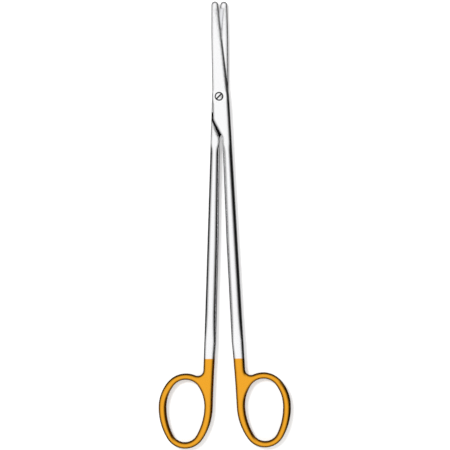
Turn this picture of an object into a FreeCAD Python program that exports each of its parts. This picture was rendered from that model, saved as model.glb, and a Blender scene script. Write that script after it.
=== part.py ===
import FreeCAD, Part
import math
import os
import Sketcher

# Dissecting scissors, straight, about 230 mm long, drawn slightly open and lying flat.
#
# Both halves are the same forging turned over. Each half is drawn in a frame of its own:
# the closed pair's middle line is the Y axis, tips towards +Y, the mating plane is Z = 0,
# the outer face is up, and the pivot stands beside the middle line by pivot_offset.
# The pair lies in a frame with the pivot axis at X = 0, Y = 0 and its underside at Z = 0. Joint,
# shanks and rings are equally thick, so it lies flat on all of them.

V = FreeCAD.Vector

SIZES = [
    ("rest_half_angle", 2.2, "half of the angle that the pair is open at rest, degrees"),
    ("pivot_offset", 0.8, "pivot axis to the middle line"),
    ("mating_gap", 0.04, "running clearance between the two inner faces"),
    ("half_thick", 2.5, "mid-plane to the outer faces of joint, shank and ring"),
    ("tip_reach", 49.0, "pivot to the end of the blade"),
    ("tip_radius", 1.75, "rounded blunt tip, seen from above"),
    ("tip_side", 0.5, "centre of the tip to the middle line"),
    ("tip_thick", 1.35, "blade thickness at the tip"),
    ("taper_start", 7.0, "pivot to where the blade starts to thin"),
    ("taper_blend", 90.0, "radius between the flat joint and the thinning blade"),
    ("spine_knee_y", 30.0, "bend of the spine, from the pivot"),
    ("spine_knee_x", 3.15, "bend of the spine, from the middle line"),
    ("spine_blend", 260.0, "radius of that bend"),
    ("shoulder_side", 4.5, "top of the slanted shoulder, from the middle line"),
    ("shoulder_top", 11.5, "top of the slanted shoulder, below the pivot"),
    ("shoulder_low", 20.8, "foot of the slanted shoulder, below the pivot"),
    ("shoulder_corner", 1.6, "rounded top of the shoulder"),
    ("shoulder_crook", 3.0, "rounded foot of the shoulder"),
    ("shoulder_gap", 0.15, "clearance between shoulder and blade edge with the rings together"),
    ("outer_side", 4.4, "outer side of the joint, from the middle line"),
    ("outer_slope", 0.37, "spread of the outer side, degrees"),
    ("inner_side", 0.1, "inner side of the shank, from the middle line, at the pivot's height"),
    ("inner_lean", 0.7, "lean of that side past the middle line of the rings, degrees"),
    ("inner_knee", 75.0, "where that side turns along the middle line, below the pivot"),
    ("ring_gap", 0.05, "half of the space between the closed rings"),
    ("joint_round", 0.5, "rounded edge of blade and shoulder"),
    ("side_round", 1.6, "rounded upper edge of the joint's outer side"),
    ("arm_round", 2.15, "rounded edge of the shank"),
    ("arm_swell", 5.0, "length over which the shank's rounding grows below the joint"),
    ("arm_blend", 14.0, "length over which the shank's rounding shrinks above the ring"),
    ("arm_start", 24.0, "where the full shank starts, below the pivot"),
    ("arm_end", 126.0, "where the shank meets the bow, below the pivot"),
    ("ring_y", 160.2, "widest part of the ring, below the pivot"),
    ("ring_half_width", 13.93, "outer half width of the ring"),
    ("ring_up", 17.0, "outer height above the widest part"),
    ("ring_down", 21.5, "outer depth below the widest part"),
    ("wall_near", 4.3, "wall of the ring at the middle line's side"),
    ("wall_far", 3.95, "wall of the ring at the far side"),
    ("wall_top", 3.0, "wall of the ring towards the joint"),
    ("wall_low", 3.0, "wall of the ring at its end"),
    ("ring_round", 1.35, "rounded edge of the ring"),
    ("ring_crotch", 3.0, "rounded corner between shank and ring"),
    ("insert_low", 4.0, "foot of the hard strip, above the pivot"),
    ("insert_short", 3.5, "steel between the top of the hard strip and the blade's end"),
    ("insert_wide", 1.8, "width of the hard strip"),
    ("insert_thick", 0.6, "thickness of the hard strip"),
    ("bevel_angle", 25.0, "lean of the cutting bevel above the strip, degrees from upright"),
    ("head_dia", 4.5, "screw head"),
    ("head_deep", 1.3, "depth of the head's seat"),
    ("head_dome", 0.28, "head above the outer face"),
    ("head_round", 0.45, "rounded rim of the head"),
    ("head_fit", 0.05, "radial clearance round the head"),
    ("seat_fit", 0.03, "clearance under the head"),
    ("neck_dia", 3.0, "smooth neck of the screw"),
    ("neck_fit", 0.03, "radial running clearance of the neck"),
    ("thread_dia", 2.9, "threaded end of the screw"),
    ("rivet_flare", 0.35, "flared end of the screw"),
    ("slot_wide", 0.75, "driver slot"),
    ("slot_deep", 0.7, "depth of the driver slot"),
    ("slot_turn", 45.0, "direction of the driver slot, degrees from the X axis"),
]

doc = FreeCAD.newDocument("dissecting_scissors")
sheet = doc.addObject("Spreadsheet::Sheet", "Sizes")
for row, (alias, value, note) in enumerate(SIZES, start=1):
    sheet.set("A%d" % row, alias)
    sheet.set("B%d" % row, str(value))
    sheet.set("C%d" % row, note)
    sheet.setAlias("B%d" % row, alias)
doc.recompute()


def size(alias):
    """A size read from the sheet."""
    return float(sheet.get(alias))


rest_half_angle = size("rest_half_angle")
pivot_offset = size("pivot_offset")
mating_gap = size("mating_gap")
half_thick = size("half_thick")
tip_reach = size("tip_reach")
tip_radius = size("tip_radius")
tip_side = size("tip_side")
outer_side = size("outer_side")
shoulder_side = size("shoulder_side")
shoulder_top = size("shoulder_top")
shoulder_low = size("shoulder_low")
arm_start = size("arm_start")
arm_end = size("arm_end")
ring_y = size("ring_y")
ring_half_width = size("ring_half_width")
ring_up = size("ring_up")
ring_down = size("ring_down")
head_dia = size("head_dia")
head_deep = size("head_deep")
neck_dia = size("neck_dia")
thread_dia = size("thread_dia")

# Lengths that only have to pass right through a piece.
THROUGH = 3 * half_thick
BEYOND = 8.0

# Centre of the blunt tip, and of the ring, in the frame of a half.
tip_x = -tip_side
tip_y = tip_reach - tip_radius
ring_x = ring_half_width + size("ring_gap")

# Finger opening: the ring's outline less its walls.
hole_half_width = ring_half_width - (size("wall_near") + size("wall_far")) / 2
hole_x = ring_x + (size("wall_near") - size("wall_far")) / 2
hole_up = ring_up - size("wall_top")
hole_down = ring_down - size("wall_low")

# The ring's edges stay inside its thinnest wall.
thin_wall = min(size("wall_near"), size("wall_far"), size("wall_top"), size("wall_low"))
ring_round = min(size("ring_round"), 0.46 * thin_wall, 0.9 * half_thick)


def outer_x(y):
    """Outer side of joint and shank at height y."""
    return outer_side - y * math.tan(math.radians(size("outer_slope")))


def inner_x(y):
    """Inner side of the shank at height y: it leans past the middle line as far as the closed pair
    leaves room, and from its knee on it runs along that line."""
    return size("inner_side") - min(-y, size("inner_knee")) * math.tan(math.radians(size("inner_lean")))


# Cutting edge: a straight line that leaves the tip circle at a tangent and meets the outer side
# level with the pivot.
heel = V(outer_x(0.0), 0.0, 0)
reach_x = tip_x - heel.x
reach_y = tip_y - heel.y
to_tip = math.hypot(reach_x, reach_y)
edge_slope = math.atan2(-reach_x, reach_y) - math.asin(tip_radius / to_tip)
edge_end = V(tip_x + tip_radius * math.cos(edge_slope), tip_y + tip_radius * math.sin(edge_slope), 0)


def edge_x(y):
    """Cutting edge at height y."""
    return heel.x - (y - heel.y) * math.tan(edge_slope)


def on_tip(angle):
    """Point of the tip circle at an angle in degrees from the X axis."""
    return V(tip_x + tip_radius * math.cos(math.radians(angle)),
             tip_y + tip_radius * math.sin(math.radians(angle)), 0)


def rounded_path(points, radii):
    """Lines through the points with a tangent arc of the given radius at each inner point."""
    path = []
    start = points[0]
    for before, corner, after, radius in zip(points, points[1:], points[2:], radii):
        back = (before - corner).normalize()
        ahead = (after - corner).normalize()
        turn = back.getAngle(ahead)
        if radius > 0:
            cut = radius / math.tan(turn / 2)
            first = corner + back * cut
            last = corner + ahead * cut
            middle_way = (back + ahead).normalize()
            centre = corner + middle_way * (radius / math.sin(turn / 2))
            if start.distanceToPoint(first) > 1e-6:
                path.append(Part.LineSegment(start, first))
            path.append(Part.Arc(first, centre - middle_way * radius, last))
            start = last
        else:
            path.append(Part.LineSegment(start, corner))
            start = corner
    if start.distanceToPoint(points[-1]) > 1e-6:
        path.append(Part.LineSegment(start, points[-1]))
    return path


def half_oval(centre, across, along, upper):
    """Upper or lower half of an egg as three tangent arcs, counter-clockwise.

    The middle arc is centred on the egg's own axis, the two side arcs on its widest line. Each
    arc is given as centre, radius, start angle and end angle.
    """
    slant = math.hypot(across, along)
    middle = (slant * slant - (along - across) * slant) / (2 * along)
    side = (slant * slant + (along - across) * slant) / (2 * across)
    turn = math.atan2(along - middle, side - across)
    right = centre - V(side - across, 0, 0)
    left = centre + V(side - across, 0, 0)
    if upper:
        return [(right, side, 0, turn),
                (centre + V(0, along - middle, 0), middle, turn, math.pi - turn),
                (left, side, math.pi - turn, math.pi)]
    return [(left, side, math.pi, math.pi + turn),
            (centre - V(0, along - middle, 0), middle, math.pi + turn, 2 * math.pi - turn),
            (right, side, 2 * math.pi - turn, 2 * math.pi)]


def arc_curve(arc):
    """Curve of an arc given as centre, radius, start angle and end angle."""
    centre, radius, first, last = arc
    return Part.ArcOfCircle(Part.Circle(centre, V(0, 0, 1), radius), first, last)


def arc_point(arc, angle):
    """Point of an arc at an angle."""
    centre, radius, first, last = arc
    return centre + V(radius * math.cos(angle), radius * math.sin(angle), 0)


def plane_of(body, role):
    """One of the origin planes of a body."""
    for feature in body.Origin.OriginFeatures:
        if feature.Role == role:
            return feature
    raise ValueError("no plane " + role)


def new_sketch(body, name, role, curves, lift=0.0, lift_size=None, offset=None):
    """Sketch of fixed curves on an origin plane of the body, moved along the plane's normal or, with
    an offset, moved and turned in the plane's own frame."""
    sketch = body.newObject("Sketcher::SketchObject", name)
    sketch.AttachmentSupport = [(plane_of(body, role), "")]
    sketch.MapMode = "FlatFace"
    sketch.AttachmentOffset = offset or FreeCAD.Placement(V(0, 0, lift), FreeCAD.Rotation())
    if lift_size:
        sketch.setExpression("AttachmentOffset.Base.z", lift_size)
    for curve in curves:
        number = sketch.addGeometry(curve, False)
        if not isinstance(curve, Part.Circle):
            sketch.addConstraint(Sketcher.Constraint("Block", number))
    return sketch


def new_circle(body, name, centre, diameter_size, lift=0.0, lift_size=None):
    """Sketch of one circle whose diameter and place are bound to the sheet."""
    sketch = new_sketch(body, name, "XY_Plane", [Part.Circle(centre, V(0, 0, 1), 1.0)], lift, lift_size)
    number = sketch.addConstraint(Sketcher.Constraint("Diameter", 0, 2.0))
    sketch.setExpression("Constraints[%d]" % number, diameter_size)
    sketch.addConstraint(Sketcher.Constraint("DistanceX", -1, 1, 0, 3, centre.x))
    sketch.addConstraint(Sketcher.Constraint("DistanceY", -1, 1, 0, 3, centre.y))
    return sketch


def add_pad(body, name, sketch, length_size, midplane=False, reversed_way=False):
    """Pad with its length bound to the sheet."""
    pad = body.newObject("PartDesign::Pad", name)
    pad.Profile = sketch
    pad.setExpression("Length", length_size)
    pad.Midplane = midplane
    pad.Reversed = reversed_way
    doc.recompute()
    return pad


def add_pocket(body, name, sketch, length_size=None, upward=False, both_ways=False):
    """Pocket, either of a bound depth or right through, that must take material away."""
    before = body.Tip.Shape.Volume
    pocket = body.newObject("PartDesign::Pocket", name)
    pocket.Profile = sketch
    if length_size:
        pocket.setExpression("Length", length_size)
    else:
        pocket.Length = 2 * THROUGH + 2 * BEYOND
    pocket.Midplane = both_ways
    pocket.Reversed = upward
    doc.recompute()
    if not pocket.Shape.Volume < before - 1e-4:
        raise ValueError(name + " cuts nothing")
    return pocket


def add_fillet(body, name, chosen, radius_size=None, radius=None):
    """Rounding of the last feature's edges that the rule chooses."""
    base = body.Tip
    names = ["Edge%d" % n for n, edge in enumerate(base.Shape.Edges, start=1) if chosen(edge)]
    if not names:
        raise ValueError(name + " finds no edge")
    fillet = body.newObject("PartDesign::Fillet", name)
    fillet.Base = (base, names)
    if radius_size:
        fillet.setExpression("Radius", radius_size)
    else:
        fillet.Radius = radius
    doc.recompute()
    return fillet


def points_on(edge, count=5):
    """Points spread evenly over an edge."""
    first = edge.FirstParameter
    step = (edge.LastParameter - first) / (count - 1)
    return [edge.valueAt(first + step * n) for n in range(count)]


def upright_at(x, y, near=0.05):
    """Rule for the upright edges over one point of the plan."""
    def chosen(edge):
        spots = points_on(edge)
        return (abs(spots[0].z - spots[-1].z) > 1.0
                and all(math.hypot(p.x - x, p.y - y) < near for p in spots))
    return chosen


def stop_at_shank(arcs):
    """The arcs, in their order, up to where they meet the shank's outer side."""
    kept = []
    for arc in arcs:
        centre, radius, first, last = arc
        end = arc_point(arc, last)
        if end.x > outer_x(end.y):
            kept.append(arc)
            continue
        low = first
        high = last
        for _ in range(60):
            middle = (low + high) / 2
            point = arc_point(arc, middle)
            if point.x > outer_x(point.y):
                low = middle
            else:
                high = middle
        kept.append((centre, radius, first, high))
        return kept
    raise ValueError("the ring does not reach the shank")


def make_bow(prefix):
    """Shank with the finger ring at its end."""
    body = doc.addObject("PartDesign::Body", prefix + "_bow")
    centre = V(ring_x, -ring_y, 0)
    top_arcs = stop_at_shank(half_oval(centre, ring_half_width, ring_up, True))
    crotch = arc_point(top_arcs[-1], top_arcs[-1][3])
    stub_in = V(inner_x(-arm_end), -arm_end, 0)
    stub_out = V(outer_x(-arm_end), -arm_end, 0)
    touch = centre - V(ring_half_width, 0, 0)
    # The inner side swings over to the ring in an arc that is tangent to the ring's widest part.
    over = touch.x - stub_in.x
    down = stub_in.y - touch.y
    swing = (over * over + down * down) / (2 * over)
    half_way = V(touch.x - swing + math.sqrt(swing * swing - down * down / 4), touch.y + down / 2, 0)
    curves = [Part.LineSegment(stub_out, stub_in), Part.Arc(stub_in, half_way, touch)]
    curves += [arc_curve(arc) for arc in half_oval(centre, ring_half_width, ring_down, False)]
    curves += [arc_curve(arc) for arc in top_arcs]
    curves.append(Part.LineSegment(crotch, stub_out))
    outline = new_sketch(body, prefix + "_ring_outline", "XY_Plane", curves)
    add_pad(body, prefix + "_ring_blank", outline, "2 * Sizes.half_thick", midplane=True)
    add_fillet(body, prefix + "_crotch", upright_at(crotch.x, crotch.y), "Sizes.ring_crotch")
    hole_centre = V(hole_x, -ring_y, 0)
    curves = [arc_curve(arc) for arc in half_oval(hole_centre, hole_half_width, hole_down, False)]
    curves += [arc_curve(arc) for arc in half_oval(hole_centre, hole_half_width, hole_up, True)]
    opening = new_sketch(body, prefix + "_opening", "XY_Plane", curves)
    add_pocket(body, prefix + "_finger_opening", opening, both_ways=True)

    def flat_edge(edge):
        spots = points_on(edge)
        level = all(abs(abs(p.z) - half_thick) < 1e-3 for p in spots)
        at_stub = all(abs(p.y + arm_end) < 1e-3 for p in spots)
        return level and not at_stub

    add_fillet(body, prefix + "_ring_rounding", flat_edge, radius=ring_round)

    # The shank is lofted through rounded rectangles that follow its sides. Its edges leave
    # the joint with the joint's roundings, of which the outer one above is larger, and reach the
    # ring with the ring's. Each station has its distance below the pivot, its share of the full
    # rounding, and the roundings at that end.
    arm_round = size("arm_round")
    swell = size("arm_swell")
    blend = size("arm_blend")
    at_joint = (size("joint_round"), size("side_round"))
    at_ring = (ring_round, ring_round)
    stations = [
        (arm_start, 0.0, at_joint),
        (arm_start + 0.25 * swell, 0.3, at_joint),
        (arm_start + 0.6 * swell, 0.8, at_joint),
        (arm_start + swell, 1.0, at_joint),
        (size("inner_knee"), 1.0, at_joint),
        (arm_end - blend, 1.0, at_ring),
        (arm_end - 0.5 * blend, 0.7, at_ring),
        (arm_end, 0.0, at_ring),
    ]
    sections = []
    for number, (down, share, ends) in enumerate(stations, start=1):
        tall = half_thick
        left = inner_x(-down)
        right = outer_x(-down)
        widest = min(0.46 * (right - left), 0.9 * tall)
        inner, outer = (min(end + share * (arm_round - end), widest) for end in ends)
        if number in (1, len(stations)):
            # A hair smaller than its neighbour, so that the two meet on a clean step.
            left += 0.01
            right -= 0.01
            tall -= 0.01
        box = [V(left + inner, -tall, 0), V(right, -tall, 0), V(right, tall, 0),
               V(left, tall, 0), V(left, -tall, 0), V(left + inner, -tall, 0)]
        curves = rounded_path(box, [inner, outer, inner, inner])
        sections.append(new_sketch(body, "%s_shank_%d" % (prefix, number), "XZ_Plane", curves, lift=down))
    loft = body.newObject("PartDesign::AdditiveLoft", prefix + "_shank")
    loft.Profile = sections[0]
    loft.Sections = sections[1:]
    loft.Ruled = True
    loft.Closed = False
    doc.recompute()
    return body


def make_blade(prefix, pivot_x, front):
    """Blade and joint, down to where the full shank starts."""
    body = doc.addObject("PartDesign::Body", prefix + "_blade")
    foot_in = V(inner_x(-arm_start), -arm_start, 0)
    foot_out = V(outer_x(-arm_start), -arm_start, 0)
    crook = V(inner_x(-shoulder_low), -shoulder_low, 0)
    shoulder = V(-shoulder_side, -shoulder_top, 0)
    knee = V(-size("spine_knee_x"), size("spine_knee_y"), 0)
    # The spine leaves the tip circle at a tangent.
    away = knee - V(tip_x, tip_y, 0)
    lean = math.atan2(-away.x, -away.y) - math.asin(tip_radius / away.Length)
    spine_angle = 180 - math.degrees(lean)
    spine_end = on_tip(spine_angle)
    turn_off = on_tip(45)
    far_corner = V(outer_x(turn_off.y), turn_off.y, 0)
    curves = rounded_path([foot_in, crook, shoulder, knee, spine_end],
                          [size("shoulder_crook"), size("shoulder_corner"), size("spine_blend")])
    curves.append(Part.Arc(spine_end, on_tip(110), turn_off))
    curves.append(Part.LineSegment(turn_off, far_corner))
    curves.append(Part.LineSegment(far_corner, foot_out))
    curves.append(Part.LineSegment(foot_out, foot_in))
    outline = new_sketch(body, prefix + "_blade_outline", "XY_Plane", curves)
    add_pad(body, prefix + "_blade_blank", outline, "2 * Sizes.half_thick", midplane=True)

    # The outer face is flat over the joint and then slopes down to the tip.
    start = V(size("taper_start"), half_thick, 0)
    thin = V(tip_reach, size("tip_thick"), 0)
    slope = (thin - start).normalize()
    past = thin + slope * BEYOND
    before = start - V(BEYOND, 0, 0)
    curves = rounded_path([before, start, past], [size("taper_blend")])
    curves += [Part.LineSegment(past, V(past.x, half_thick + BEYOND, 0)),
               Part.LineSegment(V(past.x, half_thick + BEYOND, 0),
                                V(before.x, half_thick + BEYOND, 0)),
               Part.LineSegment(V(before.x, half_thick + BEYOND, 0), before)]
    profile = new_sketch(body, prefix + "_side_profile", "YZ_Plane", curves)
    add_pocket(body, prefix + "_blade_taper", profile, both_ways=True)

    # Lap: above the shoulder only the upper half of the thickness stays. The shoulder's wall follows
    # the slanted edge of the other half with the rings together.
    top = V(shoulder_side, -shoulder_top, 0)
    low = V(-inner_x(-shoulder_low), -shoulder_low, 0)
    slant = (top - low).normalize()
    square = V(slant.y, -slant.x, 0)
    top = top + square * size("shoulder_gap") + slant * BEYOND
    low = low + square * size("shoulder_gap") - slant * BEYOND
    corners = [low, top, V(top.x, tip_reach + BEYOND, 0),
               V(-outer_side - BEYOND, tip_reach + BEYOND, 0), V(-outer_side - BEYOND, low.y, 0), low]
    lap = new_sketch(body, prefix + "_lap_outline", "XY_Plane",
                     [Part.LineSegment(a, b) for a, b in zip(corners, corners[1:])],
                     lift=mating_gap / 2, lift_size="Sizes.mating_gap / 2")
    add_pocket(body, prefix + "_lap", lap)

    def on_side(edge):
        return all(abs(p.x - outer_x(p.y)) < 1e-3 for p in points_on(edge))

    def outline_edge(edge):
        spots = points_on(edge)
        if any(p.z < mating_gap + 0.5 for p in spots):
            return False
        across = abs(spots[0].y - spots[-1].y) < 0.02 and abs(spots[0].x - spots[-1].x) > 0.5
        return not across

    def under_edge(edge):
        spots = points_on(edge)
        if any(abs(p.z + half_thick) > 1e-3 for p in spots):
            return False
        return not all(abs(p.y + arm_start) < 1e-3 for p in spots)

    add_fillet(body, prefix + "_side_rounding",
               lambda edge: outline_edge(edge) and on_side(edge), "Sizes.side_round")
    add_fillet(body, prefix + "_blade_rounding",
               lambda edge: outline_edge(edge) and not on_side(edge), "Sizes.joint_round")
    add_fillet(body, prefix + "_under_rounding", under_edge, "Sizes.joint_round")

    # The cutting side is ground away to the straight cutting edge.
    low_end = V(edge_x(-BEYOND), -BEYOND, 0)
    side = outer_side + BEYOND
    curves = [Part.Arc(turn_off, on_tip(22), edge_end),
              Part.LineSegment(edge_end, low_end),
              Part.LineSegment(low_end, V(side, low_end.y, 0)),
              Part.LineSegment(V(side, low_end.y, 0), V(side, tip_reach + BEYOND, 0)),
              Part.LineSegment(V(side, tip_reach + BEYOND, 0), V(turn_off.x, tip_reach + BEYOND, 0)),
              Part.LineSegment(V(turn_off.x, tip_reach + BEYOND, 0), turn_off)]
    ground = new_sketch(body, prefix + "_edge_line", "XY_Plane", curves)
    add_pocket(body, prefix + "_cutting_side", ground, both_ways=True)

    # Cutting bevel: above the hard strip the ground side leans back to the outer face. The sketch
    # stands across the cutting edge, half way up the blade, and is cut along the edge.
    foot = mating_gap / 2 + size("insert_thick")
    top = foot + half_thick
    back = -half_thick * math.tan(math.radians(size("bevel_angle")))
    corners = [V(0, foot, 0), V(BEYOND, foot, 0), V(BEYOND, top, 0), V(back, top, 0), V(0, foot, 0)]
    across = FreeCAD.Placement(V(edge_x(tip_reach / 2), 0, -tip_reach / 2),
                               FreeCAD.Rotation(V(0, 1, 0), math.degrees(edge_slope)))
    bevel = new_sketch(body, prefix + "_bevel_outline", "XZ_Plane",
                       [Part.LineSegment(a, b) for a, b in zip(corners, corners[1:])], offset=across)
    add_pocket(body, prefix + "_cutting_bevel", bevel, "2 * Sizes.tip_reach", both_ways=True)

    # Seat of the hard strip.
    seat = new_sketch(body, prefix + "_strip_seat_outline", "XY_Plane", strip_outline(),
                      lift=mating_gap / 2, lift_size="Sizes.mating_gap / 2")
    add_pocket(body, prefix + "_strip_seat", seat, "Sizes.insert_thick", upward=True)

    # Pivot hole.
    centre = V(pivot_x, 0, 0)
    if front:
        bore = new_circle(body, prefix + "_bore", centre, "Sizes.neck_dia + 2 * Sizes.neck_fit")
        add_pocket(body, prefix + "_neck_bore", bore, both_ways=True)
        head = new_circle(body, prefix + "_head", centre, "Sizes.head_dia + 2 * Sizes.head_fit",
                          lift=half_thick, lift_size="Sizes.half_thick")
        add_pocket(body, prefix + "_head_seat", head, "Sizes.head_deep")
    else:
        bore = new_circle(body, prefix + "_bore", centre, "Sizes.thread_dia")
        add_pocket(body, prefix + "_thread_bore", bore, both_ways=True)

        def rim(edge):
            spots = points_on(edge)
            return all(abs(p.z - half_thick) < 1e-3
                       and abs(math.hypot(p.x - pivot_x, p.y) - thread_dia / 2) < 1e-3 for p in spots)

        base = body.Tip
        names = ["Edge%d" % n for n, edge in enumerate(base.Shape.Edges, start=1) if rim(edge)]
        flare = body.newObject("PartDesign::Chamfer", prefix + "_flare_seat")
        flare.Base = (base, names)
        flare.setExpression("Size", "Sizes.rivet_flare")
        doc.recompute()
    return body


def strip_outline():
    """Plan of the hard strip: a band along the cutting edge."""
    low = size("insert_low")
    high = tip_reach - size("insert_short")
    wide = size("insert_wide")
    corners = [V(edge_x(low), low, 0), V(edge_x(high), high, 0), V(edge_x(high) - wide, high, 0),
               V(edge_x(low) - wide, low, 0), V(edge_x(low), low, 0)]
    return [Part.LineSegment(a, b) for a, b in zip(corners, corners[1:])]


def place(piece, front):
    """Put a piece of a half into the pair: turned over for the rear half, then opened."""
    turned = 0 if front else 180
    opened = rest_half_angle if front else -rest_half_angle
    own = FreeCAD.Placement(V(pivot_offset, 0, 0), FreeCAD.Rotation(V(0, 1, 0), turned))
    pair = FreeCAD.Placement(V(0, 0, half_thick), FreeCAD.Rotation(V(0, 0, 1), opened))
    piece.Placement = pair.multiply(own)


def make_half(prefix, front):
    """One forging: blade, joint, shank and ring in one piece."""
    pivot_x = -pivot_offset if front else pivot_offset
    blade = make_blade(prefix, pivot_x, front)
    bow = make_bow(prefix)
    half = doc.addObject("Part::MultiFuse", prefix + "_half")
    half.Shapes = [blade, bow]
    half.Label = prefix + "_half"
    doc.recompute()
    place(half, front)
    return half


def make_strip(prefix, front):
    """Hard strip brazed into its seat."""
    body = doc.addObject("PartDesign::Body", prefix + "_insert")
    outline = new_sketch(body, prefix + "_strip_outline", "XY_Plane", strip_outline(),
                         lift=mating_gap / 2, lift_size="Sizes.mating_gap / 2")
    add_pad(body, prefix + "_strip", outline, "Sizes.insert_thick")
    body.Label = prefix + "_insert"
    place(body, front)
    return body


def make_screw():
    """Slotted screw with a low domed head, threaded into the rear half and flared at its end."""
    body = doc.addObject("PartDesign::Body", "pivot_screw")
    top = 2 * half_thick
    seat = top - head_deep + size("seat_fit")
    split = half_thick
    flare = size("rivet_flare")
    head = head_dia / 2
    neck = neck_dia / 2
    thread = thread_dia / 2
    dome = size("head_dome")
    rim = V(head, top - dome * 0.4, 0)
    crown = V(0, top + dome, 0)
    rise = crown.y - rim.y
    ball = (head * head + rise * rise) / (2 * rise)
    middle = V(ball * math.sin(math.asin(head / ball) / 2),
               crown.y - ball + ball * math.cos(math.asin(head / ball) / 2), 0)
    corners = [crown, V(0, 0, 0), V(thread + flare, 0, 0), V(thread, flare, 0), V(thread, split, 0),
               V(neck, split, 0), V(neck, seat, 0), V(head, seat, 0), rim]
    curves = [Part.LineSegment(a, b) for a, b in zip(corners, corners[1:])]
    curves.append(Part.Arc(rim, middle, crown))
    outline = new_sketch(body, "screw_outline", "XZ_Plane", curves)
    turned = body.newObject("PartDesign::Revolution", "screw_turned")
    turned.Profile = outline
    turned.ReferenceAxis = (outline, ["V_Axis"])
    turned.Angle = 360
    doc.recompute()

    def on_rim(edge):
        return all(abs(math.hypot(p.x, p.y) - head) < 1e-3 and abs(p.z - rim.y) < 1e-3
                   for p in points_on(edge))

    add_fillet(body, "rim_rounding", on_rim, "Sizes.head_round")
    half_wide = size("slot_wide") / 2
    turn = math.radians(size("slot_turn"))
    along = V(math.cos(turn), math.sin(turn), 0) * head_dia
    aside = V(-math.sin(turn), math.cos(turn), 0) * half_wide
    corners = [along + aside, aside - along, V(0, 0, 0) - along - aside, along - aside, along + aside]
    slot = new_sketch(body, "slot_outline", "XY_Plane",
                      [Part.LineSegment(a, b) for a, b in zip(corners, corners[1:])],
                      lift=top + dome, lift_size="2 * Sizes.half_thick + Sizes.head_dome")
    add_pocket(body, "driver_slot", slot, "Sizes.slot_deep")
    body.Label = "pivot_screw"
    return body


parts = [make_half("front", True), make_half("rear", False),
         make_strip("front", True), make_strip("rear", False), make_screw()]
doc.recompute()

for item in doc.Objects:
    if "Invalid" in item.State or "Error" in item.State:
        raise ValueError("%s is in state %s" % (item.Name, item.State))
for piece in parts:
    if piece.Shape.isNull() or not piece.Shape.isValid() or len(piece.Shape.Solids) != 1:
        raise ValueError("%s is not one valid solid" % piece.Label)

os.makedirs("parts", exist_ok=True)
for piece in parts:
    piece.Shape.exportStep("parts/%s.step" % piece.Label)
    box = piece.Shape.BoundBox
    print("%-12s volume %9.2f  x %8.2f %8.2f  y %8.2f %8.2f  z %6.3f %6.3f"
          % (piece.Label, piece.Shape.Volume, box.XMin, box.XMax, box.YMin, box.YMax, box.ZMin, box.ZMax))
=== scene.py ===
import math

import bpy
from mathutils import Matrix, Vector

bl_info = {
    "name": "Dissecting scissors finish",
    "version": (1, 0, 0),
    "blender": (4, 5, 0),
    "location": "View3D > Sidebar > Scissors",
    "description": "Finishes for scissors with plated finger rings, and the studio round them",
    "category": "Object",
}

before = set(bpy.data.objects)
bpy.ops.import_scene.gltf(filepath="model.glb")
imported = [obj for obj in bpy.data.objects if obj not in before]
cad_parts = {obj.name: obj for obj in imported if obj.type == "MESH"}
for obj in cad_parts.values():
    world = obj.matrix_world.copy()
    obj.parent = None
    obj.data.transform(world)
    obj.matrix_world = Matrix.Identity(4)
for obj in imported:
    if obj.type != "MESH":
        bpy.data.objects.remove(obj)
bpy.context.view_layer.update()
MM = 0.001

# Gold plating: how far its edge wanders, how far apart the bends are, and how soft it is.
PLATING_WANDER = 0.2 * MM
PLATING_BENDS = 2.5 * MM
PLATING_SOFT = 0.15 * MM

# Painted shade in the lap: the faces at the middle plane are coloured near black, standing in
# for the shadow in the gap between the halves. Below: the middle plane where the two halves meet,
# and how near to it and how far below the pivot the painted shade lies.
MIDDLE_PLANE = 2.5 * MM
SHADE_REACH = 0.05 * MM
SHADE_TOP = -8.0 * MM

# Polish of the steel: lines 0.15 mm apart, 33 times as long as wide, as a spread of the roughness
# below and above its middle value and as a relief.
POLISH_LINES = 0.15 * MM
POLISH_STRETCH = 0.03
POLISH_SPREAD = (-0.03, 0.05)
POLISH_RELIEF = 0.01 * MM
POLISH_DEPTH = 0.05

# Ground carbide: grit marks, roughness and the radius of its honed edges.
GRIT = 0.2 * MM
GRIT_ROUGHNESS = (0.3, 0.4)
HONED_EDGE = 0.4 * MM

# Screw: heights over which the painted shade in the slot and the groove round the head fades
# out, standing in for the shadow there, and the turned finish. The rings repeat every
# 2 pi / (20 * TURNED_SCALE), which is 2.5 mm, coarser than real marks.
SLOT_SHADE = (5.02 * MM, 5.12 * MM)
TURNED_SCALE = 1 / (0.4 * MM) / 20
TURNED_ROUGHNESS = (0.16, 0.24)

# Part of each noise pattern's range that is used, and rays per edge.
NOISE_RANGE = (0.3, 0.7)
EDGE_SAMPLES = 8

# Linear grey of the surround that the metal reflects, by elevation in degrees.
PLAIN_SIDES = ((0, 0.0), (12, 0.0), (16, 0.28), (24, 0.45), (40, 0.58), (60, 1.0))
DARK_SIDE = ((0, 0.0), (32, 0.0), (46, 0.03), (58, 0.15), (70, 0.5), (84, 1.0))

# The dark side starts and is full where the cosine of the angle to its middle has these values, at
# about 41 and 18 degrees. Below the horizon the surround stays black down to the first of these
# elevations and has its full grey from the second, in degrees.
DARK_SPREAD = (0.75, 0.95)
UNDER_SPREAD = (-12, -30)

# Floor: half its width in metres, the paper's grey, and the glow that makes it white where it is
# seen.
FLOOR_HALF = 3.0
PAPER_GREY = 0.8
PAPER_GLOW = 0.35

# Soft lamp: its width, its place and the point it is aimed at, in metres.
LAMP_WIDTH = 0.25
LAMP_PLACE = (-0.35, 0.25, 0.85)
LAMP_AIM = (0.0, -0.07, 0.0)

# Camera: its sensor's width in millimetres, and the picture's centre, right of and below the pivot
# along the picture's own axes.
SENSOR = 36.0
CENTRE_RIGHT = 3.07 * MM
CENTRE_BELOW = 66.16 * MM

# Scale of the picture: the object is seen straight from above, 450 pixels to 232 mm.
PICTURE_WIDTH = 450 * 0.5157 * MM


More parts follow.
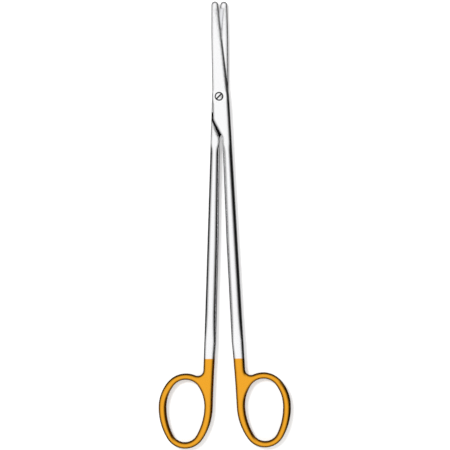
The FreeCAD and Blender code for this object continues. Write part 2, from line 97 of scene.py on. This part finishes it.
def linear(hex_colour):
    """Linear RGBA of an sRGB hex colour such as "#F2A62C"."""
    parts = [int(hex_colour[i:i + 2], 16) / 255 for i in (1, 3, 5)]
    return [c / 12.92 if c <= 0.04045 else ((c + 0.055) / 1.055) ** 2.4 for c in parts] + [1.0]


class SteelFinish(bpy.types.PropertyGroup):
    """Colours and grain of the steel and its plating, and the colour of the painted shade in the
    lap.
    """
    steel: bpy.props.StringProperty(
        name="Steel", description="Colour of the polished stainless steel, sRGB hex",
        default="#FAFAFB")
    # Painted shade: near-black colour for the faces in the lap, standing in for the shadow in the
    # gap.
    painted_lap_shade: bpy.props.StringProperty(
        name="Recess", description="Colour of the dull ground faces deep in the lap, sRGB hex",
        default="#1E1E20")
    gold: bpy.props.StringProperty(
        name="Gold", description="Colour of the gold plating, sRGB hex", default="#F3A92E")
    gold_edge: bpy.props.FloatProperty(
        name="Plating edge", description="Distance from the pivot down to where the plating starts",
        default=134.8 * MM, unit="LENGTH")
    satin: bpy.props.FloatProperty(
        name="Satin", description="Roughness of the polished steel", default=0.1, subtype="FACTOR")
    broken_edge: bpy.props.FloatProperty(
        name="Broken edge", description="Radius to which the buffing wheel broke the sharp edges",
        default=2.2 * MM, unit="LENGTH")
    crisp_round: bpy.props.FloatProperty(
        name="Crisp round the screw",
        description="Distance from the pivot within which edges stay sharp",
        default=2.4 * MM, unit="LENGTH")


class StripFinish(bpy.types.PropertyGroup):
    """Colour of the hard cutting strips."""
    carbide: bpy.props.StringProperty(
        name="Carbide", description="Colour of the ground hard metal, sRGB hex", default="#EDEEF1")


class ScrewFinish(bpy.types.PropertyGroup):
    """Colours of the pivot screw and of the painted shade in its slot and round its head."""
    steel: bpy.props.StringProperty(
        name="Steel", description="Colour of the turned steel, sRGB hex", default="#F4F4F5")
    # Painted shade: near-black colour down in the slot and round the head, standing in for the
    # shadow.
    slot: bpy.props.StringProperty(
        name="Slot", description="Colour down in the driver slot and round the head, sRGB hex",
        default="#1C1C1E")


class Studio(bpy.types.PropertyGroup):
    """Light and camera."""
    lamp_power: bpy.props.FloatProperty(
        name="Lamp", description="Power of the soft lamp at the upper left",
        default=5.0, unit="POWER")
    sky: bpy.props.FloatProperty(
        name="Sky", description="Strength of the even light from all round", default=0.75)
    dark_side: bpy.props.FloatProperty(
        name="Dark side", description="Direction in which the reflected dark reaches highest",
        default=0.0, subtype="ANGLE")
    under: bpy.props.FloatProperty(
        name="Under", description="Grey that the metal reflects from below the horizon",
        default=0.09)
    lens: bpy.props.FloatProperty(
        name="Lens", description="Focal length of the camera in millimetres", default=120.0)
    roll: bpy.props.FloatProperty(
        name="Roll", description="Lean of the scissors' middle line to the left in the picture",
        default=math.atan(0.01346), subtype="ANGLE")


def add_node(tree, kind, links=None, **settings):
    """Adds one node. A setting named like an input socket sets its value, any other the node's own
    property, and links gives the output socket for an input, by name or number."""
    node = tree.nodes.new(kind)
    for name, value in settings.items():
        if hasattr(node, name):
            setattr(node, name, value)
        else:
            node.inputs[name.replace("_", " ")].default_value = value
    for name, source in (links or {}).items():
        tree.links.new(source, node.inputs[name])
    return node


def new_material(name):
    """Empty node material with its output node."""
    material = bpy.data.materials.new(name)
    material.use_nodes = True
    material.node_tree.nodes.clear()
    return material, material.node_tree, add_node(material.node_tree, "ShaderNodeOutputMaterial")


def give(node_name, material):
    """Puts the material on every slot of a CAD piece."""
    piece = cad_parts[node_name]
    if not piece.material_slots:
        piece.data.materials.append(material)
    for slot in piece.material_slots:
        slot.material = material


def new_mesh(name, points, faces):
    """Object of the given points and faces, at the origin."""
    mesh = bpy.data.meshes.new(name)
    mesh.from_pydata([tuple(p) for p in points], [], [tuple(f) for f in faces])
    mesh.update()
    thing = bpy.data.objects.new(name, mesh)
    bpy.context.scene.collection.objects.link(thing)
    return thing


def plated_steel():
    """Polished stainless steel whose finger rings are gold plated.

    Stainless steel, belt polished along its length and then buffed: bright, nearly colourless, with
    fine lengthwise lines too fine to show, drawn 0.15 mm apart. The plating is a few microns of
    hard gold over the same polish, so it has the same relief and only the colour changes. The
    ground faces in the lap are coloured near black: painted shade, standing in for the shadow in
    the gap between the halves.
    """
    finish = bpy.context.scene.scissors_steel
    material, tree, output = new_material("polished_stainless_with_gold_plated_rings")
    place = add_node(tree, "ShaderNodeTexCoord")
    split = add_node(tree, "ShaderNodeSeparateXYZ", {"Vector": place.outputs["Object"]})

    # The plating's edge wanders a little.
    wander = add_node(tree, "ShaderNodeTexNoise", {"Vector": place.outputs["Object"]},
                      Scale=1 / PLATING_BENDS, Detail=1.0)
    down = add_node(tree, "ShaderNodeMath", {0: wander.outputs["Fac"], 2: split.outputs["Y"]},
                    operation="MULTIPLY_ADD")
    down.inputs[1].default_value = PLATING_WANDER
    plated = add_node(tree, "ShaderNodeMapRange", {"Value": down.outputs["Value"]},
                      From_Min=-finish.gold_edge - PLATING_SOFT,
                      From_Max=-finish.gold_edge + PLATING_SOFT,
                      To_Min=1.0, To_Max=0.0)

    # Painted shade in the lap, standing in for the shadow in the gap between the halves: near-black
    # colour near the middle plane, from the screw down to the foot of the lap.
    height = add_node(tree, "ShaderNodeMath", {0: split.outputs["Z"]}, operation="COMPARE")
    height.inputs[1].default_value = MIDDLE_PLANE
    height.inputs[2].default_value = SHADE_REACH
    below = add_node(tree, "ShaderNodeMath", {0: split.outputs["Y"]}, operation="LESS_THAN")
    below.inputs[1].default_value = SHADE_TOP
    lap_shade_mask = add_node(tree, "ShaderNodeMath", {0: height.outputs["Value"], 1: below.outputs["Value"]},
                    operation="MULTIPLY")

    # Steel, with the painted shade of the lap mixed in.
    steel_or_shade = add_node(tree, "ShaderNodeMix", {"Factor": lap_shade_mask.outputs["Value"]},
                             data_type="RGBA")
    steel_or_shade.inputs["A"].default_value = linear(finish.steel)
    steel_or_shade.inputs["B"].default_value = linear(finish.painted_lap_shade)
    colour = add_node(tree, "ShaderNodeMix", {"Factor": plated.outputs["Result"]}, data_type="RGBA")
    tree.links.new(steel_or_shade.outputs["Result"], colour.inputs["A"])
    colour.inputs["B"].default_value = linear(finish.gold)

    grain_place = add_node(tree, "ShaderNodeMapping", {"Vector": place.outputs["Object"]},
                           Scale=(1.0, POLISH_STRETCH, 1.0))
    grain = add_node(tree, "ShaderNodeTexNoise", {"Vector": grain_place.outputs["Vector"]},
                     Scale=1 / POLISH_LINES, Detail=2.0)
    rough = add_node(tree, "ShaderNodeMapRange", {"Value": grain.outputs["Fac"]},
                     From_Min=NOISE_RANGE[0], From_Max=NOISE_RANGE[1],
                     To_Min=finish.satin + POLISH_SPREAD[0], To_Max=finish.satin + POLISH_SPREAD[1])

    # The screw's seat is bored after the buffing, so its edge stays crisp: the rounding that the
    # wheel leaves grows with the distance from it.
    flat = add_node(tree, "ShaderNodeCombineXYZ",
                    {"X": split.outputs["X"], "Y": split.outputs["Y"]})
    far = add_node(tree, "ShaderNodeVectorMath", {0: flat.outputs["Vector"]}, operation="LENGTH")
    reach = add_node(tree, "ShaderNodeMapRange", {"Value": far.outputs["Value"]},
                     From_Min=finish.crisp_round, From_Max=finish.crisp_round + finish.broken_edge,
                     To_Min=0.0, To_Max=finish.broken_edge)
    broken = add_node(tree, "ShaderNodeBevel", {"Radius": reach.outputs["Result"]},
                      samples=EDGE_SAMPLES)
    relief = add_node(tree, "ShaderNodeBump", {"Height": grain.outputs["Fac"],
                                               "Normal": broken.outputs["Normal"]},
                      Strength=POLISH_DEPTH, Distance=POLISH_RELIEF)
    metal = add_node(tree, "ShaderNodeBsdfPrincipled",
                     {"Base Color": colour.outputs["Result"], "Roughness": rough.outputs["Result"],
                      "Normal": relief.outputs["Normal"]}, Metallic=1.0)
    tree.links.new(metal.outputs["BSDF"], output.inputs["Surface"])
    return material


def ground_carbide():
    """Tungsten carbide, ground: a slightly bluish grey beside the steel, with a fine matt lay."""
    finish = bpy.context.scene.scissors_strip
    material, tree, output = new_material("ground_tungsten_carbide")
    place = add_node(tree, "ShaderNodeTexCoord")
    grain = add_node(tree, "ShaderNodeTexNoise", {"Vector": place.outputs["Object"]},
                     Scale=1 / GRIT, Detail=2.0)
    rough = add_node(tree, "ShaderNodeMapRange", {"Value": grain.outputs["Fac"]},
                     From_Min=NOISE_RANGE[0], From_Max=NOISE_RANGE[1],
                     To_Min=GRIT_ROUGHNESS[0], To_Max=GRIT_ROUGHNESS[1])
    broken = add_node(tree, "ShaderNodeBevel", samples=EDGE_SAMPLES, Radius=HONED_EDGE)
    metal = add_node(tree, "ShaderNodeBsdfPrincipled",
                     {"Roughness": rough.outputs["Result"], "Normal": broken.outputs["Normal"]},
                     Metallic=1.0, Base_Color=linear(finish.carbide))
    tree.links.new(metal.outputs["BSDF"], output.inputs["Surface"])
    return material


def turned_steel():
    """Stainless steel turned on a lathe and buffed: bright, with faint rings. The slot and the
    groove round the head are coloured near black: painted shade, standing in for the shadow there."""
    finish = bpy.context.scene.scissors_screw
    material, tree, output = new_material("turned_stainless_steel")
    place = add_node(tree, "ShaderNodeTexCoord")
    split = add_node(tree, "ShaderNodeSeparateXYZ", {"Vector": place.outputs["Object"]})
    # Painted shade: low down the screw is coloured near black, standing in for the shadow in the
    # slot and the groove round the head.
    deep = add_node(tree, "ShaderNodeMapRange", {"Value": split.outputs["Z"]},
                    From_Min=SLOT_SHADE[0], From_Max=SLOT_SHADE[1], To_Min=1.0, To_Max=0.0)
    colour = add_node(tree, "ShaderNodeMix", {"Factor": deep.outputs["Result"]}, data_type="RGBA")
    colour.inputs["A"].default_value = linear(finish.steel)
    colour.inputs["B"].default_value = linear(finish.slot)
    rings = add_node(tree, "ShaderNodeTexWave", {"Vector": place.outputs["Object"]},
                     wave_type="RINGS", rings_direction="Z", Scale=TURNED_SCALE, Distortion=0.3)
    rough = add_node(tree, "ShaderNodeMapRange", {"Value": rings.outputs["Fac"]},
                     To_Min=TURNED_ROUGHNESS[0], To_Max=TURNED_ROUGHNESS[1])
    metal = add_node(tree, "ShaderNodeBsdfPrincipled",
                     {"Base Color": colour.outputs["Result"], "Roughness": rough.outputs["Result"]},
                     Metallic=1.0)
    tree.links.new(metal.outputs["BSDF"], output.inputs["Surface"])
    return material


class SCISSORS_OT_halves(bpy.types.Operator):
    """Finish both forged halves: polished steel with gold plated rings"""
    bl_idname = "scissors.halves"
    bl_label = "Finish the halves"

    def execute(self, context):
        steel = plated_steel()
        for name in ("front_half", "rear_half"):
            give(name, steel)
        return {"FINISHED"}


class SCISSORS_OT_strips(bpy.types.Operator):
    """Finish the hard cutting strips"""
    bl_idname = "scissors.strips"
    bl_label = "Finish the cutting strips"

    def execute(self, context):
        carbide = ground_carbide()
        for name in ("front_insert", "rear_insert"):
            give(name, carbide)
        return {"FINISHED"}


class SCISSORS_OT_screw(bpy.types.Operator):
    """Finish the slotted pivot screw"""
    bl_idname = "scissors.screw"
    bl_label = "Finish the pivot screw"

    def execute(self, context):
        give("pivot_screw", turned_steel())
        return {"FINISHED"}


def seen_as_background(tree):
    """1 for camera, glossy and transmission rays, 0 for all others."""
    path = add_node(tree, "ShaderNodeLightPath")
    both = add_node(tree, "ShaderNodeMath", {0: path.outputs["Is Camera Ray"],
                                             1: path.outputs["Is Glossy Ray"]}, operation="MAXIMUM")
    every = add_node(tree, "ShaderNodeMath", {0: both.outputs["Value"],
                                              1: path.outputs["Is Transmission Ray"]},
                     operation="MAXIMUM")
    return every.outputs["Value"]


def grey_by_elevation(tree, elevation, table):
    """Grey for an elevation in radians, read from a table of degrees and linear greys."""
    share = add_node(tree, "ShaderNodeMath", {0: elevation}, operation="DIVIDE")
    share.inputs[1].default_value = math.pi / 2
    ramp = add_node(tree, "ShaderNodeValToRGB", {"Fac": share.outputs["Value"]})
    stops = ramp.color_ramp.elements
    while len(stops) < len(table):
        stops.new(0.5)
    for stop, (degrees, grey) in zip(stops, table):
        stop.position = degrees / 90
        stop.color = (grey, grey, grey, 1.0)
    return ramp.outputs["Color"]


def graded_surround(tree, dark_side, under):
    """Light that polished metal reflects: white overhead and darker and darker down to the horizon,
    more so around the dark side, a direction in radians from the X axis; dull grey from below."""
    place = add_node(tree, "ShaderNodeTexCoord")
    split = add_node(tree, "ShaderNodeSeparateXYZ", {"Vector": place.outputs["Generated"]})
    rise = add_node(tree, "ShaderNodeMath", {0: split.outputs["Z"]}, operation="ARCSINE")
    level = add_node(tree, "ShaderNodeCombineXYZ",
                     {"X": split.outputs["X"], "Y": split.outputs["Y"]})
    heading = add_node(tree, "ShaderNodeVectorMath", {0: level.outputs["Vector"]},
                       operation="NORMALIZE")
    toward = add_node(tree, "ShaderNodeVectorMath", {0: heading.outputs["Vector"]},
                      operation="DOT_PRODUCT")
    toward.inputs[1].default_value = (math.cos(dark_side), math.sin(dark_side), 0.0)
    dark = add_node(tree, "ShaderNodeMapRange", {"Value": toward.outputs["Value"]},
                    interpolation_type="SMOOTHSTEP",
                    From_Min=DARK_SPREAD[0], From_Max=DARK_SPREAD[1])
    above = add_node(tree, "ShaderNodeMix", {"Factor": dark.outputs["Result"]}, data_type="RGBA")
    tree.links.new(grey_by_elevation(tree, rise.outputs["Value"], PLAIN_SIDES), above.inputs["A"])
    tree.links.new(grey_by_elevation(tree, rise.outputs["Value"], DARK_SIDE), above.inputs["B"])
    below = add_node(tree, "ShaderNodeMapRange", {"Value": rise.outputs["Value"]},
                     From_Min=math.radians(UNDER_SPREAD[0]), From_Max=math.radians(UNDER_SPREAD[1]),
                     To_Min=0.0, To_Max=under)
    both = add_node(tree, "ShaderNodeMath",
                    {0: above.outputs["Result"], 1: below.outputs["Result"]}, operation="ADD")
    return both.outputs["Value"]


class SCISSORS_OT_stage(bpy.types.Operator):
    """Pale floor, soft light and the camera straight above"""
    bl_idname = "scissors.stage"
    bl_label = "Build the studio"

    def execute(self, context):
        scene = context.scene
        studio = scene.scissors_studio
        scene.view_settings.view_transform = "Standard"

        # Floor: white paper that keeps a soft shadow.
        far = FLOOR_HALF
        floor = new_mesh("floor", [(-far, -far, 0), (far, -far, 0), (far, far, 0), (-far, far, 0)],
                         [(0, 1, 2, 3)])
        material, tree, output = new_material("white_paper")
        paper = add_node(tree, "ShaderNodeBsdfDiffuse", Color=[PAPER_GREY] * 3 + [1.0])
        glow = add_node(tree, "ShaderNodeEmission", Color=(1.0, 1.0, 1.0, 1.0))
        level = add_node(tree, "ShaderNodeMath", {0: seen_as_background(tree)},
                         operation="MULTIPLY")
        level.inputs[1].default_value = PAPER_GLOW
        tree.links.new(level.outputs["Value"], glow.inputs["Strength"])
        both = add_node(tree, "ShaderNodeAddShader",
                        {0: paper.outputs["BSDF"], 1: glow.outputs["Emission"]})
        tree.links.new(both.outputs["Shader"], output.inputs["Surface"])
        floor.data.materials.append(material)
        floor.visible_glossy = False

        # Sky: even light from all round, white where it is seen. Metal reflects the graded surround
        # in its place.
        world = bpy.data.worlds.new("soft_box")
        scene.world = world
        world.use_nodes = True
        tree = world.node_tree
        tree.nodes.clear()
        strength = add_node(tree, "ShaderNodeMapRange", {"Value": seen_as_background(tree)},
                            To_Min=studio.sky, To_Max=1.0)
        path = add_node(tree, "ShaderNodeLightPath")
        graded = graded_surround(tree, studio.dark_side, studio.under)
        seen = add_node(tree, "ShaderNodeMix", {"Factor": path.outputs["Is Glossy Ray"]})
        tree.links.new(strength.outputs["Result"], seen.inputs["A"])
        tree.links.new(graded, seen.inputs["B"])
        sky = add_node(tree, "ShaderNodeBackground", {"Strength": seen.outputs["Result"]},
                       Color=(1.0, 1.0, 1.0, 1.0))
        output = add_node(tree, "ShaderNodeOutputWorld")
        tree.links.new(sky.outputs["Background"], output.inputs["Surface"])

        lamp_data = bpy.data.lights.new("soft_lamp", "AREA")
        lamp_data.shape = "DISK"
        lamp_data.size = LAMP_WIDTH
        lamp_data.energy = studio.lamp_power
        lamp = bpy.data.objects.new("soft_lamp", lamp_data)
        scene.collection.objects.link(lamp)
        lamp.location = LAMP_PLACE
        lamp.visible_glossy = False
        aim = Vector(LAMP_AIM) - lamp.location
        lamp.rotation_euler = aim.to_track_quat("-Z", "Y").to_euler()

        # Camera: straight above, rolled so that the middle line leans as drawn, and as far above
        # the middle plane as gives the picture its width.
        camera_data = bpy.data.cameras.new("camera")
        camera_data.lens = studio.lens
        camera_data.sensor_width = SENSOR
        camera_data.clip_end = 20.0
        camera = bpy.data.objects.new("camera", camera_data)
        scene.collection.objects.link(camera)
        turn = studio.roll
        right = Vector((math.cos(turn), -math.sin(turn), 0.0))
        up = Vector((math.sin(turn), math.cos(turn), 0.0))
        centre = right * CENTRE_RIGHT - up * CENTRE_BELOW
        away = PICTURE_WIDTH * studio.lens / SENSOR
        camera.location = centre + Vector((0.0, 0.0, away + MIDDLE_PLANE))
        camera.rotation_euler = (0.0, 0.0, -turn)
        scene.camera = camera
        return {"FINISHED"}


class SCISSORS_PT_panel(bpy.types.Panel):
    """Sizes and colours of the scissors' finish"""
    bl_label = "Dissecting scissors"
    bl_idname = "SCISSORS_PT_panel"
    bl_space_type = "VIEW_3D"
    bl_region_type = "UI"
    bl_category = "Scissors"

    def draw(self, context):
        for group, names, operator in (
                (context.scene.scissors_steel,
                 ("steel", "painted_lap_shade", "gold", "gold_edge", "satin", "broken_edge", "crisp_round"),
                 "scissors.halves"),
                (context.scene.scissors_strip, ("carbide",), "scissors.strips"),
                (context.scene.scissors_screw, ("steel", "slot"), "scissors.screw"),
                (context.scene.scissors_studio,
                 ("lamp_power", "sky", "dark_side", "under", "lens", "roll"),
                 "scissors.stage")):
            box = self.layout.box()
            for name in names:
                box.prop(group, name)
            box.operator(operator)


CLASSES = (SteelFinish, StripFinish, ScrewFinish, Studio, SCISSORS_OT_halves, SCISSORS_OT_strips,
           SCISSORS_OT_screw, SCISSORS_OT_stage, SCISSORS_PT_panel)


def register():
    for item in CLASSES:
        bpy.utils.register_class(item)
    bpy.types.Scene.scissors_steel = bpy.props.PointerProperty(type=SteelFinish)
    bpy.types.Scene.scissors_strip = bpy.props.PointerProperty(type=StripFinish)
    bpy.types.Scene.scissors_screw = bpy.props.PointerProperty(type=ScrewFinish)
    bpy.types.Scene.scissors_studio = bpy.props.PointerProperty(type=Studio)


def unregister():
    del bpy.types.Scene.scissors_studio
    del bpy.types.Scene.scissors_screw
    del bpy.types.Scene.scissors_strip
    del bpy.types.Scene.scissors_steel
    for item in reversed(CLASSES):
        bpy.utils.unregister_class(item)


def main():
    register()
    bpy.ops.scissors.halves()
    bpy.ops.scissors.strips()
    bpy.ops.scissors.screw()
    bpy.ops.scissors.stage()


if __name__ == "__main__":
    main()
